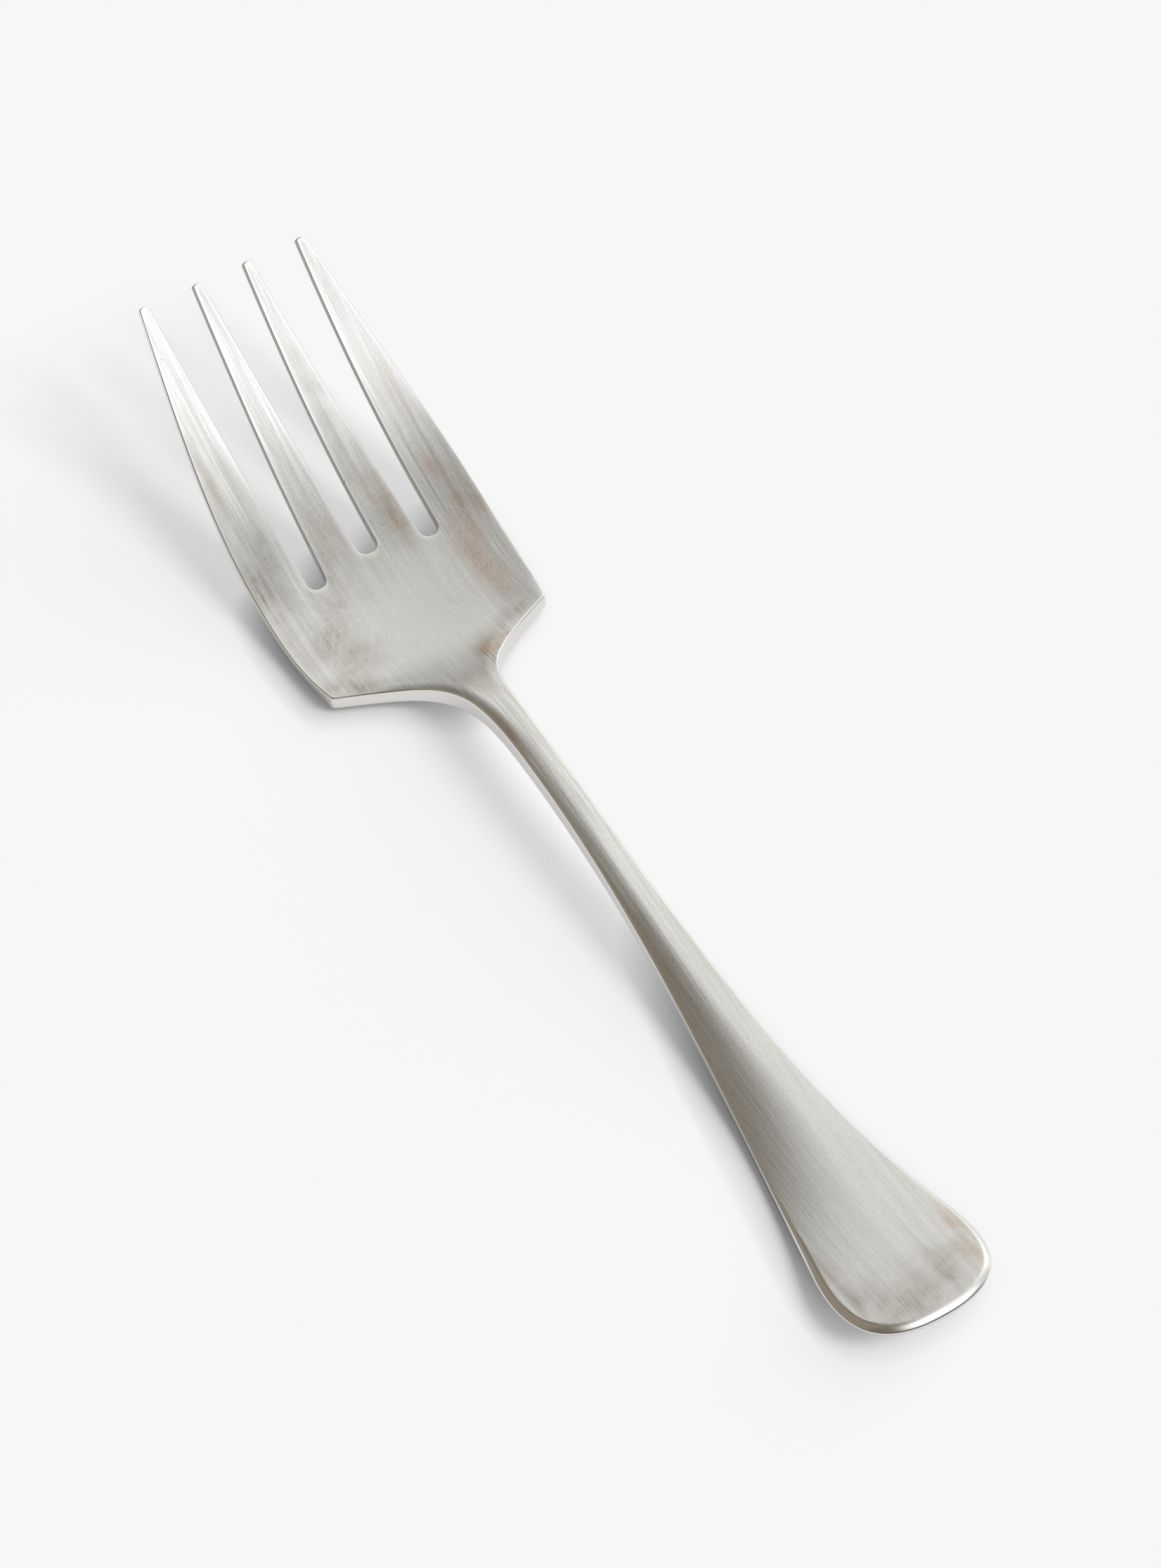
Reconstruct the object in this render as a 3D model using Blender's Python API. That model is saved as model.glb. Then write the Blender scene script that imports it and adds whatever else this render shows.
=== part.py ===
"""Serving fork, forged from one bar of stainless steel.

The bar is modelled region by region: handle, neck, head and four tines. Each region is lofted
from cross-sections that stand square on the keel, which is the line along the middle of the
underside. Lengths run along Y from the shoulder line, positive towards the tine tips. The fork
lies on its back as on a table, with the keel touching the table under the head and near the end
of the handle.
"""
import math

import bmesh
import bpy
import numpy as np

MM = 0.001

# Lengths along the fork, from the shoulder line
HEAD_LENGTH = 82.3 * MM
HANDLE_LENGTH = 167.7 * MM
NECK_FRONT_AT = 9.0 * MM
NECK_BACK_AT = 36.8 * MM

# Plan outline of the head
SHOULDER_WIDTH = 46.6 * MM
HEAD_WIDTH = 50.1 * MM
HEAD_WIDEST_AT = 26.2 * MM
TIP_SPREAD = 36.0 * MM
SHOULDER_FLARE = 0.20
TIP_TAPER = 0.187

# Plan outline from the shoulders to the neck, a curve that leaves each shoulder at an angle
SHOULDER_ANGLE = math.radians(23.0)
SHOULDER_REACH = 19.8 * MM
NECK_REACH = 26.0 * MM
NECK_WIDTH = 6.1 * MM

# Plan outline of the handle, which widens by a power law and ends in a full round
GRIP_WIDTH = 27.4 * MM
GRIP_LENGTH = 20.2 * MM
GRIP_FLARE = 2.22
END_SIDE_REACH = 11.8 * MM
END_FRONT_REACH = 14.4 * MM

# Slots between the tines: edges at the root and at the tips, measured from the middle, and how far
# ahead of the deepest closed end the tines part from the head
OUTER_SLOT_ROOT_AT = 24.75 * MM
MIDDLE_SLOT_ROOT_AT = 26.9 * MM
TINES_AHEAD_OF_SLOT_ROOTS = 3.1 * MM
SLOT_CORNER = 1.75 * MM
SLOT_CORNER_SHARE = 0.45
MIDDLE_SLOT_ROOT = 2.05 * MM
MIDDLE_SLOT_TIP = 4.6 * MM
MIDDLE_SLOT_BOW = 1.8
INNER_TINE_ROOT = 10.4 * MM
INNER_TINE_TIP = 6.35 * MM
INNER_TINE_BOW = 1.15
OUTER_TINE_ROOT = 14.3 * MM
OUTER_TINE_TIP = 16.2 * MM
OUTER_TINE_BOW = 2.2

# Side profile: height of the keel over the table at each station
TIP_HEIGHT = 30.7 * MM
TINE_BEND_BEHIND_TIP = 24.3 * MM
TINE_BEND_HEIGHT = 16.6 * MM
BOWL_LOW_AT = 9.0 * MM
BOWL_FRONT_LENGTH = 23.0 * MM
BOWL_FRONT_HEIGHT = 5.0 * MM
RAMP_AT = 10.0 * MM
RAMP_HEIGHT = 3.7 * MM
RAMP_TOP_AT = 20.0 * MM
RAMP_TOP_HEIGHT = 7.4 * MM
CREST_AT = 33.0 * MM
CREST_HEIGHT = 8.8 * MM
HANDLE_MID_HEIGHT = 4.3 * MM
HANDLE_LOW_BEFORE_END = 36.0 * MM
END_HEIGHT = 6.0 * MM
REST_FLAT_DEPTH = 0.25 * MM

# Thickness at the edge
TIP_THICKNESS = 1.7 * MM
SHOULDER_THICKNESS = 2.75 * MM
NECK_THICKNESS = 3.8 * MM
HANDLE_THICKNESS = 2.8 * MM
END_THICKNESS = 2.2 * MM

# Hollow of the head from edge to middle, and crown of the neck and handle over their edges
BOWL_DISH = 1.2 * MM
TIP_DISH = 0.4 * MM
NECK_CROWN = 0.36 * MM
HANDLE_CROWN = 1.25 * MM
HANDLE_CROWN_BEFORE_END = 50.7 * MM
END_CROWN = 0.2 * MM

# Broken edges, and the hairline between one region and the next
EDGE_BREAK = 0.4 * MM
SEAM = 0.3 * MM

# Mesh steps
ROW_STEP = 3.0 * MM
END_ROWS = 14
SHOULDER_ROWS = 42
OUTLINE_STEPS = 400
HANDLE_COLUMNS = 8
HEAD_COLUMNS = 16
TINE_COLUMNS = 4
CORNER_STEPS = 5
PUNCH_MARGIN = 20.0 * MM
SLOPE_STEP = 0.1 * MM
MERGE_DISTANCE = 0.002 * MM
SHARP_ANGLE = math.radians(35.0)

# Colours of the tumbled steel, linear, with the roughness of each region
STEEL = {
    "handle": ((0.50, 0.49, 0.46, 1.0), 0.34),
    "neck": ((0.52, 0.51, 0.48, 1.0), 0.32),
    "head": ((0.48, 0.47, 0.44, 1.0), 0.38),
    "left_outer_tine": ((0.56, 0.55, 0.52, 1.0), 0.36),
    "left_inner_tine": ((0.56, 0.55, 0.52, 1.0), 0.36),
    "right_inner_tine": ((0.54, 0.52, 0.49, 1.0), 0.36),
    "right_outer_tine": ((0.55, 0.53, 0.49, 1.0), 0.36),
}


def natural_spline(stations, values):
    """Smooth curve through the values, with no bend at either end."""
    order = np.argsort(stations)
    x = np.asarray(stations, float)[order]
    v = np.asarray(values, float)[order]
    gap = np.diff(x)
    count = len(x)
    system = np.eye(count)
    right = np.zeros(count)
    for i in range(1, count - 1):
        system[i, i - 1:i + 2] = gap[i - 1], 2 * (gap[i - 1] + gap[i]), gap[i]
        right[i] = 6 * ((v[i + 1] - v[i]) / gap[i] - (v[i] - v[i - 1]) / gap[i - 1])
    bend = np.linalg.solve(system, right)

    def value(at):
        i = int(np.clip(np.searchsorted(x, at) - 1, 0, count - 2))
        a = (x[i + 1] - at) / gap[i]
        b = (at - x[i]) / gap[i]
        curve = ((a ** 3 - a) * bend[i] + (b ** 3 - b) * bend[i + 1]) * gap[i] ** 2 / 6
        return a * v[i] + b * v[i + 1] + curve

    return value


def bezier(p0, p1, p2, p3, steps):
    t = np.linspace(0.0, 1.0, steps)[:, None]
    points = [np.asarray(p, float) for p in (p0, p1, p2, p3)]
    weights = ((1 - t) ** 3, 3 * t * (1 - t) ** 2, 3 * t * t * (1 - t), t ** 3)
    return sum(w * p for w, p in zip(weights, points))


def hermite(at, start, start_value, start_slope, end, end_value, end_slope):
    length = end - start
    u = (at - start) / length
    return ((2 * u ** 3 - 3 * u ** 2 + 1) * start_value
            + (u ** 3 - 2 * u ** 2 + u) * length * start_slope
            + (3 * u ** 2 - 2 * u ** 3) * end_value
            + (u ** 3 - u ** 2) * length * end_slope)


def ease(at, start, end):
    u = min(max((at - start) / (end - start), 0.0), 1.0)
    return u * u * (3 - 2 * u)


# Plan outline, as half-widths

GRIP_AT = -(HANDLE_LENGTH - GRIP_LENGTH)


def shoulder_curve(steps):
    """Points (half-width, station) from the shoulder corner back to the neck."""
    corner = np.array([SHOULDER_WIDTH / 2, 0.0])
    leave = np.array([math.cos(SHOULDER_ANGLE), math.sin(SHOULDER_ANGLE)])
    neck = np.array([NECK_WIDTH / 2, -NECK_BACK_AT])
    return bezier(corner, corner - SHOULDER_REACH * leave, neck + (0, NECK_REACH), neck, steps)


def end_curve(steps):
    """Points (half-width, station) round the end of the handle, to its middle."""
    side = np.array([GRIP_WIDTH / 2, GRIP_AT])
    middle = np.array([0.0, -HANDLE_LENGTH])
    widening = (GRIP_WIDTH - NECK_WIDTH) / 2 * GRIP_FLARE / (-NECK_BACK_AT - GRIP_AT)
    leave = np.array([widening, -1.0]) / math.hypot(widening, 1.0)
    return bezier(side, side + END_SIDE_REACH * leave, middle + (END_FRONT_REACH, 0), middle, steps)


def half_width(at):
    if at > HEAD_WIDEST_AT:
        return hermite(at, HEAD_WIDEST_AT, HEAD_WIDTH / 2, 0.0, HEAD_LENGTH, TIP_SPREAD / 2, -TIP_TAPER)
    if at >= 0:
        return hermite(at, 0.0, SHOULDER_WIDTH / 2, SHOULDER_FLARE, HEAD_WIDEST_AT, HEAD_WIDTH / 2, 0.0)
    if at > -NECK_BACK_AT:
        curve = shoulder_curve(OUTLINE_STEPS)[::-1]
        return float(np.interp(at, curve[:, 1], curve[:, 0]))
    if at > GRIP_AT:
        u = (-NECK_BACK_AT - at) / (-NECK_BACK_AT - GRIP_AT)
        return (NECK_WIDTH + (GRIP_WIDTH - NECK_WIDTH) * u ** GRIP_FLARE) / 2
    curve = end_curve(OUTLINE_STEPS)[::-1]
    return float(np.interp(at, curve[:, 1], curve[:, 0]))


# Side profile and cross-section

HANDLE_LOW_AT = -(HANDLE_LENGTH - HANDLE_LOW_BEFORE_END)
HANDLE_MID_AT = (HANDLE_LOW_AT - CREST_AT) / 2
CROWN_AT = -(HANDLE_LENGTH - HANDLE_CROWN_BEFORE_END)
TINE_BEND_AT = HEAD_LENGTH - TINE_BEND_BEHIND_TIP

keel = natural_spline(
    (HEAD_LENGTH, TINE_BEND_AT, BOWL_LOW_AT + BOWL_FRONT_LENGTH, BOWL_LOW_AT, -RAMP_AT, -RAMP_TOP_AT,
     -CREST_AT, HANDLE_MID_AT, HANDLE_LOW_AT, -HANDLE_LENGTH),
    (TIP_HEIGHT, TINE_BEND_HEIGHT, BOWL_FRONT_HEIGHT, -REST_FLAT_DEPTH, RAMP_HEIGHT, RAMP_TOP_HEIGHT,
     CREST_HEIGHT, HANDLE_MID_HEIGHT, -REST_FLAT_DEPTH, END_HEIGHT))

thickness = natural_spline(
    (HEAD_LENGTH, 0.0, -RAMP_TOP_AT, HANDLE_MID_AT, -HANDLE_LENGTH),
    (TIP_THICKNESS, SHOULDER_THICKNESS, NECK_THICKNESS, HANDLE_THICKNESS, END_THICKNESS))


def keel_angle(at):
    return math.atan((keel(at + SLOPE_STEP) - keel(at - SLOPE_STEP)) / (2 * SLOPE_STEP))


def dish(at):
    towards_tip = min(max((at - BOWL_LOW_AT) / (HEAD_LENGTH - BOWL_LOW_AT), 0.0), 1.0)
    depth = BOWL_DISH + (TIP_DISH - BOWL_DISH) * towards_tip
    return depth * ease(at, -NECK_FRONT_AT, BOWL_LOW_AT)


def crown(at):
    towards_grip = ease(-at, CREST_AT, -CROWN_AT)
    towards_end = ease(-at, -CROWN_AT, HANDLE_LENGTH)
    height = NECK_CROWN + (HANDLE_CROWN - NECK_CROWN) * towards_grip
    height += (END_CROWN - HANDLE_CROWN) * towards_end
    return height * ease(-at, -BOWL_LOW_AT, RAMP_TOP_AT)


def under_height(x, at, half):
    return dish(at) * (x / half) ** 2


def top_height(x, at, half):
    across = (x / half) ** 2
    return thickness(at) + dish(at) * across + crown(at) * (1 - across)


def on_fork(x, at, height):
    """Point at a height over the keel, square to it, kept above the table."""
    angle = keel_angle(at)
    return x, at - height * math.sin(angle), max(keel(at) + height * math.cos(angle), 0.0)


def section(at, left, right, columns):
    """Closed ring of points round one cross-section with broken edges."""
    half = max(half_width(at), MERGE_DISTANCE)
    edge = min(EDGE_BREAK, (right - left) / 4)
    across = np.linspace(left + edge, right - edge, columns + 1)
    ring = [on_fork(x, at, under_height(x, at, half)) for x in across]
    ring.append(on_fork(right, at, under_height(right, at, half) + edge))
    ring.append(on_fork(right, at, top_height(right, at, half) - edge))
    ring += [on_fork(x, at, top_height(x, at, half)) for x in across[::-1]]
    ring.append(on_fork(left, at, top_height(left, at, half) - edge))
    ring.append(on_fork(left, at, under_height(left, at, half) + edge))
    return ring


# Meshes

def loft(name, rings, pointed=False):
    """Solid skinned over the rings, which run towards the tips; a pointed one starts in an edge."""
    mesh = bmesh.new()
    rows = [[mesh.verts.new(point) for point in ring] for ring in rings]
    count = len(rings[0])
    for back, front in zip(rows, rows[1:]):
        for i in range(count):
            j = (i + 1) % count
            mesh.faces.new((back[i], back[j], front[j], front[i]))
    mesh.faces.new(rows[-1])
    if not pointed:
        mesh.faces.new(rows[0][::-1])
    bmesh.ops.remove_doubles(mesh, verts=mesh.verts, dist=MERGE_DISTANCE)
    bmesh.ops.recalc_face_normals(mesh, faces=mesh.faces)
    data = bpy.data.meshes.new(name)
    mesh.to_mesh(data)
    mesh.free()
    piece = bpy.data.objects.new(name, data)
    bpy.context.scene.collection.objects.link(piece)
    return piece


def finish(piece, parent):
    colour, roughness = STEEL[piece.name]
    steel = bpy.data.materials.new(piece.name + "_steel")
    steel.use_nodes = True
    shader = steel.node_tree.nodes["Principled BSDF"]
    shader.inputs["Base Color"].default_value = colour
    shader.inputs["Metallic"].default_value = 1.0
    shader.inputs["Roughness"].default_value = roughness
    piece.data.materials.append(steel)
    piece.data.shade_smooth()
    piece.data.set_sharp_from_angle(angle=SHARP_ANGLE)
    piece.parent = parent


def stations(start, end, step):
    count = max(2, math.ceil(abs(end - start) / step) + 1)
    return list(np.linspace(start, end, count))


def full_section(at, columns):
    half = half_width(at)
    return section(at, -half, half, columns)


TINE_ROOT_AT = max(OUTER_SLOT_ROOT_AT, MIDDLE_SLOT_ROOT_AT) + TINES_AHEAD_OF_SLOT_ROOTS


def slot_edge(at, root_at, root, tip, bow):
    """Distance of a slot's edge from the middle, which moves from root to tip."""
    u = max((at - root_at) / (HEAD_LENGTH - root_at), 0.0)
    return root + (tip - root) * u ** bow


def middle_edge(at):
    return slot_edge(at, MIDDLE_SLOT_ROOT_AT, MIDDLE_SLOT_ROOT, MIDDLE_SLOT_TIP, MIDDLE_SLOT_BOW)


def inner_edge(at):
    return slot_edge(at, OUTER_SLOT_ROOT_AT, INNER_TINE_ROOT, INNER_TINE_TIP, INNER_TINE_BOW)


def outer_edge(at):
    return slot_edge(at, OUTER_SLOT_ROOT_AT, OUTER_TINE_ROOT, OUTER_TINE_TIP, OUTER_TINE_BOW)


def punch(name, root_at, edges):
    """Upright cutter for the closed end of a slot, with round corners, between its two edges."""
    left, right = edges(root_at)
    radius = min(SLOT_CORNER, (right - left) * SLOT_CORNER_SHARE)
    outline = []
    for middle, first in ((right - radius, 0.0), (left + radius, -0.5 * math.pi)):
        for i in range(CORNER_STEPS + 1):
            angle = first - 0.5 * math.pi * i / CORNER_STEPS
            outline.append((middle + radius * math.cos(angle), root_at + radius + radius * math.sin(angle)))
    front = TINE_ROOT_AT + PUNCH_MARGIN
    left, right = edges(TINE_ROOT_AT)
    outline += [(left, TINE_ROOT_AT), (left, front), (right, front), (right, TINE_ROOT_AT)]
    low = -PUNCH_MARGIN
    high = TIP_HEIGHT + PUNCH_MARGIN
    rings = [[(x, y, z) for x, y in outline] for z in (low, high)]
    cutter = loft(name, rings)
    cutter.hide_render = True
    cutter.display_type = "WIRE"
    return cutter


def make_handle():
    # Crowned grip: flares from the neck and ends in a full round
    round_end = [row[1] for row in end_curve(END_ROWS)[::-1]]
    flare = stations(GRIP_AT, -NECK_BACK_AT - SEAM / 2, ROW_STEP)
    return loft("handle", [full_section(at, HANDLE_COLUMNS) for at in round_end + flare[1:]], pointed=True)


def make_neck():
    # Stem between the handle and the shoulders
    rows = stations(-NECK_BACK_AT + SEAM / 2, -NECK_FRONT_AT - SEAM / 2, ROW_STEP)
    return loft("neck", [full_section(at, HANDLE_COLUMNS) for at in rows])


def make_head(parent):
    # Dished palm with the shoulders, punched at the closed ends of the slots
    back = -NECK_FRONT_AT + SEAM / 2
    shoulder = [row[1] for row in shoulder_curve(SHOULDER_ROWS)[::-1] if row[1] > back]
    palm = stations(0.0, TINE_ROOT_AT - SEAM / 2, ROW_STEP)
    head = loft("head", [full_section(at, HEAD_COLUMNS) for at in [back] + shoulder + palm[1:]])
    punches = (
        punch("middle_punch", MIDDLE_SLOT_ROOT_AT, lambda at: (-middle_edge(at), middle_edge(at))),
        punch("right_punch", OUTER_SLOT_ROOT_AT, lambda at: (inner_edge(at), outer_edge(at))),
        punch("left_punch", OUTER_SLOT_ROOT_AT, lambda at: (-outer_edge(at), -inner_edge(at))),
    )
    for cutter in punches:
        cutter.parent = parent
        cut = head.modifiers.new(cutter.name, "BOOLEAN")
        cut.operation = "DIFFERENCE"
        cut.object = cutter
    return head


def inner_tine_edges(at):
    return middle_edge(at), inner_edge(at)


def outer_tine_edges(at):
    return outer_edge(at), half_width(at)


def make_tine(name, edges, side):
    # Tapered tine, flat on its face and blunt at its tip
    rings = []
    for at in stations(TINE_ROOT_AT + SEAM / 2, HEAD_LENGTH, ROW_STEP):
        near, far = edges(at)
        left, right = (near, far) if side > 0 else (-far, -near)
        rings.append(section(at, left, right, TINE_COLUMNS))
    return loft(name, rings)


def make_fork():
    fork = bpy.data.objects.new("serving_fork", None)
    bpy.context.scene.collection.objects.link(fork)
    fork.location.y = (HANDLE_LENGTH - HEAD_LENGTH) / 2
    pieces = [
        make_handle(),
        make_neck(),
        make_head(fork),
        make_tine("left_outer_tine", outer_tine_edges, -1),
        make_tine("left_inner_tine", inner_tine_edges, -1),
        make_tine("right_inner_tine", inner_tine_edges, 1),
        make_tine("right_outer_tine", outer_tine_edges, 1),
    ]
    for piece in pieces:
        finish(piece, fork)


for old in list(bpy.data.objects):
    bpy.data.objects.remove(old)
make_fork()
bpy.context.view_layer.update()
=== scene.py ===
import math

import bmesh
import bpy
import numpy as np
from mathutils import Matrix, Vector
from mathutils.kdtree import KDTree


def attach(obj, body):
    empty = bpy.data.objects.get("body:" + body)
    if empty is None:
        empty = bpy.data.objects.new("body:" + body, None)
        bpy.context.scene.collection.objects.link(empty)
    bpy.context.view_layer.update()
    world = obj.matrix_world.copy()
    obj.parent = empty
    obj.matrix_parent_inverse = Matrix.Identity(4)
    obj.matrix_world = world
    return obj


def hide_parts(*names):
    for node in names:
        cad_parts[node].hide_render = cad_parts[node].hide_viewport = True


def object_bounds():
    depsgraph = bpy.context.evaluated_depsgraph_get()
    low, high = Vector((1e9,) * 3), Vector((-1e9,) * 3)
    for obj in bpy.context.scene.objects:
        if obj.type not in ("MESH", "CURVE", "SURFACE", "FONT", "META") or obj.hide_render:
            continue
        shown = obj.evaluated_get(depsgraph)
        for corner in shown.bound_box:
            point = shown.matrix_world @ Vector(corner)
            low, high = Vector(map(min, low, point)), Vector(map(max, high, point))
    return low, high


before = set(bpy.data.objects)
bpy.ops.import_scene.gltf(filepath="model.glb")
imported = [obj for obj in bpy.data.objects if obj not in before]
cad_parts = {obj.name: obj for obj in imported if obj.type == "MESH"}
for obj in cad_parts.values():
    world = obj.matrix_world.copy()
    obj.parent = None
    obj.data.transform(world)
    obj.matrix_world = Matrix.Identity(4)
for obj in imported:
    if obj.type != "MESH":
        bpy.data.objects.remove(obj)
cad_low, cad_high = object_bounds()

# The bar
# The whole fork is one bar of stainless steel, rolled thinner towards both ends, blanked flat to its
# outline, pressed in a die, slotted and bent. What runs through every region of it is here: its
# length, the bend seen from the side, the thickness, the hollow, the crown, the steel and the edges.

# Sizes in millimetres, with places along the fork from the shoulder line, positive towards the tips
MM = 0.001
HEAD_LENGTH = 82.3
HANDLE_LENGTH = 167.7
SHOULDER_LINE = cad_low.y / MM + HANDLE_LENGTH
TINE_BEND_AT = HEAD_LENGTH - 24.3
BOWL_LOW_AT = 9.0
BOWL_FRONT_AT = BOWL_LOW_AT + 23.0
RAMP_AT = -10.0
RAMP_TOP_AT = -20.0
CREST_AT = -33.0
HANDLE_LOW_AT = 36.0 - HANDLE_LENGTH
HANDLE_MID_AT = (HANDLE_LOW_AT + CREST_AT) / 2
REST_FLAT_DEPTH = 0.25
BOWL_DISH = 1.2
TIP_DISH = 0.4
DISH_STARTS_AT = -12.0
SHOULDER_WIDTH = 46.6
SHOULDER_BEVEL = 2.3
BEVEL_STARTS_AT = -34.0
CROWN_ENDS_AT = 10.0
RIDGES_FADE_AT = -5.0
LEAST_REACH = 0.05
SLOPE_STEP = 0.05
# The power by which the crown falls away to the edges
CROWN_FALL = 1.7


def smooth_line(stations, values):
    """Natural cubic curve through given values; gives the value at a place, or the slope there."""
    x = np.array(stations[::-1], float)
    v = np.array(values[::-1], float)
    gap = np.diff(x)
    system = np.eye(len(x))
    right = np.zeros(len(x))
    for i in range(1, len(x) - 1):
        system[i, i - 1:i + 2] = gap[i - 1], 2 * (gap[i - 1] + gap[i]), gap[i]
        right[i] = 6 * ((v[i + 1] - v[i]) / gap[i] - (v[i] - v[i - 1]) / gap[i - 1])
    curving = np.linalg.solve(system, right)

    def line(at, slope=False):
        i = np.clip(np.searchsorted(x, at) - 1, 0, len(x) - 2)
        a = (x[i + 1] - at) / gap[i]
        b = 1 - a
        if slope:
            curve = ((3 * b * b - 1) * curving[i + 1] - (3 * a * a - 1) * curving[i]) * gap[i] / 6
            return (v[i + 1] - v[i]) / gap[i] + curve
        curve = ((a ** 3 - a) * curving[i] + (b ** 3 - b) * curving[i + 1]) * gap[i] ** 2 / 6
        return a * v[i] + b * v[i + 1] + curve

    return line


def ease(at, start, end):
    """Soft step from 0 at its start to 1 at its end."""
    u = np.clip((at - start) / (end - start), 0.0, 1.0)
    return u * u * (3 - 2 * u)


keel = smooth_line(
    (HEAD_LENGTH, TINE_BEND_AT, BOWL_FRONT_AT, BOWL_LOW_AT, RAMP_AT, RAMP_TOP_AT, CREST_AT,
     HANDLE_MID_AT, HANDLE_LOW_AT, -HANDLE_LENGTH),
    (30.7, 16.6, 5.0, -REST_FLAT_DEPTH, 3.7, 7.4, 8.8, 4.3, -REST_FLAT_DEPTH, 6.0))

thickness = smooth_line(
    (HEAD_LENGTH, 0.0, RAMP_TOP_AT, HANDLE_MID_AT, -HANDLE_LENGTH),
    (1.7, 2.75, 3.8, 2.8, 2.2))

# The crown of the face, and how far the ridge on top of it strays to the right of the middle
crown = smooth_line(
    (RAMP_AT, RAMP_TOP_AT, CREST_AT, -60.0, -90.0, -117.0, -140.0, -154.0, -HANDLE_LENGTH),
    (0.36, 0.38, 0.36, 0.50, 0.90, 1.25, 0.75, 0.32, 0.20))
ridge = smooth_line(
    (RAMP_AT, CREST_AT, -75.0, -105.0, -120.0, -140.0, -HANDLE_LENGTH),
    (0.0, 0.0, 0.0, 1.6, 2.3, 1.1, 0.0))


def dish(at):
    """Depth of the hollow: full where the bowl is low, less towards the tips, none on the handle."""
    towards_tip = np.clip((at - BOWL_LOW_AT) / (HEAD_LENGTH - BOWL_LOW_AT), 0.0, 1.0)
    return (BOWL_DISH + (TIP_DISH - BOWL_DISH) * towards_tip) * ease(at, DISH_STARTS_AT, BOWL_LOW_AT)


def back_height(x, at, half):
    """Height of the back over the keel; behind the head the hollow is as wide as the shoulders."""
    width = np.where(at < 0.0, SHOULDER_WIDTH / 2, half(at))
    return dish(at) * (x / width) ** 2


def face_height(x, at, half):
    """Height of the face over the keel: hollow in the bowl, crowned or bevelled towards the edges."""
    width = half(at)
    slope = (half(at + SLOPE_STEP) - half(at - SLOPE_STEP)) / (2 * SLOPE_STEP)
    behind = np.minimum(at, RAMP_AT)
    lean = ridge(behind)
    reach = np.maximum(width - np.copysign(lean, x - lean), LEAST_REACH)
    from_edge = np.maximum(1 - np.abs(x - lean) / reach, 0.0) * width / np.sqrt(1 + slope ** 2)
    to_bevel = ease(at, BEVEL_STARTS_AT, RAMP_TOP_AT)
    bevel = width + (np.minimum(width, SHOULDER_BEVEL) - width) * to_bevel
    fall = (1 - np.minimum(from_edge / bevel, 1.0)) ** CROWN_FALL
    middle = crown(behind) * (1 - ease(at, RAMP_TOP_AT, CROWN_ENDS_AT))
    edge_drop = crown(behind) * (1 - ease(at, RIDGES_FADE_AT, 0.0))
    return thickness(at) + back_height(x, at, half) + middle - edge_drop * fall


def bend(x, at, height):
    """Places of points on the bent fork, in metres, kept above the table it lies on."""
    angle = np.arctan(keel(at, slope=True))
    along = SHOULDER_LINE + at - height * np.sin(angle)
    up = np.maximum(keel(at) + height * np.cos(angle), 0.0)
    return np.stack([x, along, up], axis=-1) * MM


# Tumbled stainless steel: ground along its length, then rolled in a drum of grit. The eye gets a
# neutral grey satin with fine lengthwise lines, uneven grey, brown and rusty stains, grey painted shade
# on the handle's end, hair scratches that cross over them on the palm, a few bright nicks and dark
# pits, dull dark walls where the slots were punched, and edges that are smoother than the faces and
# painted brighter, partly as polish and partly as a painted sheen. The grinding lines, the scratches
# and the pits are drawn some three times as coarse as they are, or they would be too fine to show.
LINE_LIGHT = "#D6D5D0"
LINE_DARK = "#A9A7A1"
# Brighter steel on the edges: polish from the tumbling and a painted sheen
EDGE_POLISH_AND_SHEEN = "#E4E3E0"
SCRATCH = "#DDDCD8"
STAIN_RUST = "#A67D5A"
STAIN_BROWN = "#A0886C"
# Grey of the stains, also laid as painted shade on the handle's end
STAIN_GREY_AND_SHADE = "#8F8A7F"
PIT = "#4E4A45"
NICK = "#F6F5F2"
CUT_WALL = "#B6B3AE"

# Sizes in millimetres
LINE_WIDTH = 0.26
LINE_LENGTH = 13.0
STREAK_WIDTH = 1.1
STREAK_LENGTH = 42.0
GRIT_SIZE = 0.30
BLOTCH_SIZE = 4.5
SCRATCH_WIDTH = 0.11
SCRATCH_LENGTH = 24.0
SCRATCH_HEIGHT = 20.0
PIT_SPACING = 2.6
PIT_SIZE = 0.15
PIT_CORE = 0.075
NICK_SHIFT = 57.0
RELIEF_DEPTH = 0.04

# Shares of what shows; the last two are the shares of places that are left without a pit or a nick
STREAK_SHARE = 0.45
GRIT_SHARE = 0.17
RUBBED_TONE = 0.5
SPOTS_BETWEEN_LINES = 0.25
SPOTS_BETWEEN_BLOTCHES = 0.55
SPOTS_ON_BLOTCHES = 1.2
SPOTS_WHERE_RUBBED = 0.65
SCRATCHED_SHARE = 0.26
SCRATCHES_ALL_OVER = 0.10
PIT_DEPTH = 0.8
PITS_BARE = 0.80
NICKS_BARE = 0.86
# The power by which the wear and the painted sheen fade away from the edges
WEAR_AND_SHEEN_POWER = 1.6

# Satin steel is about 0.25 rough: less between the grinding lines and more on them
SATIN_LEAST = 0.18
SATIN_MOST = 0.32
EDGE_ROUGHNESS = 0.24
CUT_ROUGHNESS = 0.5
GRIT_RELIEF = 0.3
SCRATCH_RELIEF = -0.6
FACE_RELIEF = 0.25
EDGE_RELIEF = 0.03

# The ways that the scratches run, in degrees, and how far each pattern is shifted to be its own
SCRATCH_WAYS = ((34.0, 0.0), (-48.0, 31.0), (81.0, 67.0), (-14.0, 113.0))

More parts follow.
